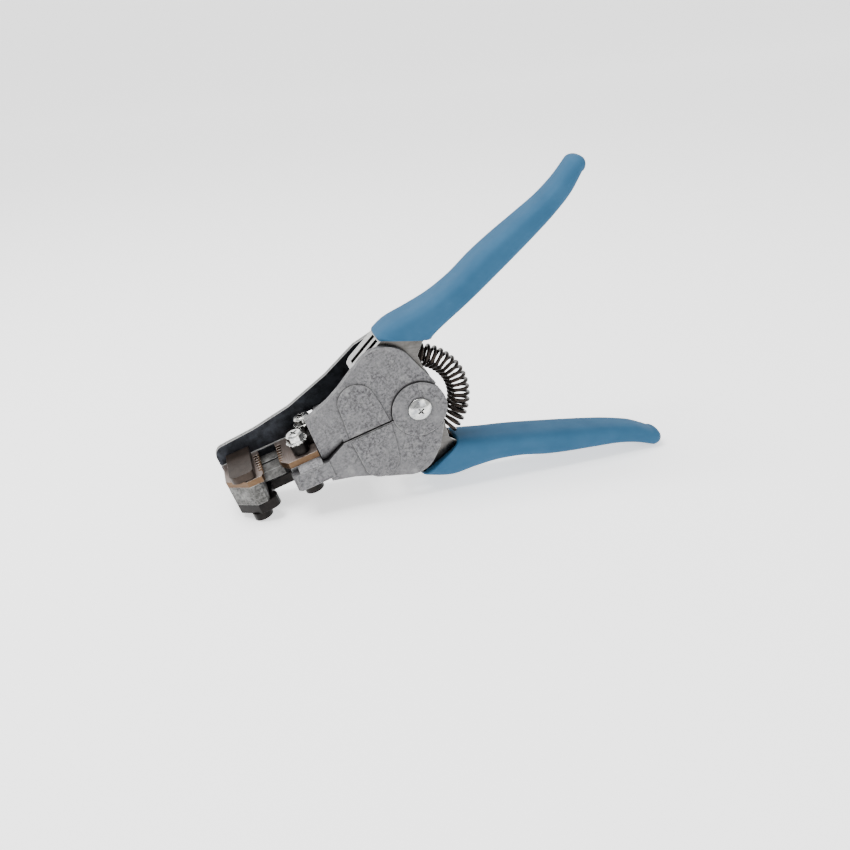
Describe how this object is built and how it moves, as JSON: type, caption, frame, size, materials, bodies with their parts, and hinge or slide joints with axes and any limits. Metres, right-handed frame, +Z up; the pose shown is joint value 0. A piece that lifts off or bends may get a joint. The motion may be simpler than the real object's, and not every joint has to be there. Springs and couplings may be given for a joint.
{
  "type": "wire stripper",
  "caption": "Automatic wire stripper with two die-cast jaw frames, sliding jaw arms, serrated blades, a gripper and sprung squeeze handles.",
  "frame": {"origin": "middle of the standing tool's box, at the floor that its outer bolt and lower grip rest on", "axes": "+Z up, +X from the jaws towards the handles, +Y from the front face to the back; the tool's own axis slopes up towards the handles by 15.9 degrees"},
  "size_m": [0.1922, 0.035, 0.1303],
  "materials": {
    "die_cast": "rough die-cast zinc alloy, mottled, brighter along the edges",
    "bright_cast": "die-cast zinc alloy, brighter and smoother",
    "bright_zinc": "bright zinc plating",
    "zinc_plate": "zinc-plated sheet steel, satin",
    "steel": "plain steel, satin",
    "blade_steel": "ground tool steel, straw-coloured on its faces",
    "finger_steel": "dark brown-grey hardened steel",
    "black_steel": "black oxide on steel, oiled",
    "arm_steel": "dark finish with bright worn edges",
    "blue_vinyl": "dipped blue vinyl, soft sheen",
    "spring_wire": "black oiled music wire"
  },
  "bodies": {
    "blade_frame": {"lower_casting": "die_cast", "pivot_screw": "bright_zinc", "pivot_sleeve": "steel", "pivot_nut": "bright_zinc", "inner_blade": "blade_steel", "inner_blade_bolt": "black_steel", "inner_bolt_washer": "black_steel", "lower_guide_pin": "steel", "return_spring": "spring_wire"},
    "gripper_frame": {"upper_casting": "die_cast", "upper_guide_pin": "steel"},
    "lower_handle": {"lower_channel": "zinc_plate", "lower_grip": "blue_vinyl", "lower_crank_pin": "steel", "lower_crank_clip": "black_steel", "lower_spring_seat": "zinc_plate"},
    "upper_handle": {"upper_channel": "zinc_plate", "upper_grip": "blue_vinyl", "upper_crank_pin": "steel", "upper_crank_clip": "black_steel", "upper_spring_seat": "zinc_plate"},
    "blade_arm": {"lower_arm_plate": "arm_steel", "outer_jaw_shelf": "black_steel", "outer_jaw_block": "bright_cast", "outer_blade": "blade_steel", "outer_blade_bolt": "black_steel", "lower_arm_screws": "steel"},
    "gripper_arm": {"upper_arm_plate": "arm_steel", "gripper_finger": "finger_steel", "upper_arm_screws": "steel"},
    "gripper_carriage": {"gripper_slide": "black_steel", "gripper_pad": "black_steel", "gripper_screws": "bright_zinc", "gripper_washers": "bright_zinc"}
  },
  "joints": [
    {"name": "lower_squeeze", "type": "hinge", "parent": "blade_frame", "child": "lower_handle", "pos_m": [-0.01399, 0, 0.03992], "axis": [0, -1, 0], "range_deg": [0, 18.48], "stiffness_Nm_per_rad": 1.5, "springref_deg": -28.65, "deforming": ["return_spring"]},
    {"name": "jaw_spread", "type": "hinge", "parent": "blade_frame", "child": "gripper_frame", "pos_m": [-0.01399, 0, 0.03992], "axis": [0, 1, 0], "range_deg": [0, 13], "stiffness_Nm_per_rad": 2, "springref_deg": -34.38},
    {"name": "upper_squeeze", "type": "hinge", "parent": "gripper_frame", "child": "upper_handle", "pos_m": [-0.01399, 0, 0.03992], "axis": [0, 1, 0], "range_deg": [0, 18.48], "stiffness_Nm_per_rad": 1.5, "springref_deg": -28.65},
    {"name": "blade_pull", "type": "slide", "parent": "blade_frame", "child": "blade_arm", "axis": [0.9617, 0, 0.274], "range_m": [0, 0.00745]},
    {"name": "gripper_pull", "type": "slide", "parent": "gripper_frame", "child": "gripper_arm", "axis": [0.9617, 0, 0.274], "range_m": [0, 0.00745]},
    {"name": "gripper_push", "type": "slide", "parent": "gripper_frame", "child": "gripper_carriage", "axis": [-0.9617, 0, -0.274], "range_m": [0, 0.0079]}
  ],
  "couplings": [
    {"joint": "upper_squeeze", "follows": "lower_squeeze", "ratio": 1},
    {"joint": "blade_pull", "follows": "lower_squeeze", "m_per_rad": 0.023099},
    {"joint": "gripper_pull", "follows": "lower_squeeze", "m_per_rad": 0.023099},
    {"joint": "gripper_push", "follows": "lower_squeeze", "m_per_rad": 0.024495}
  ]
}
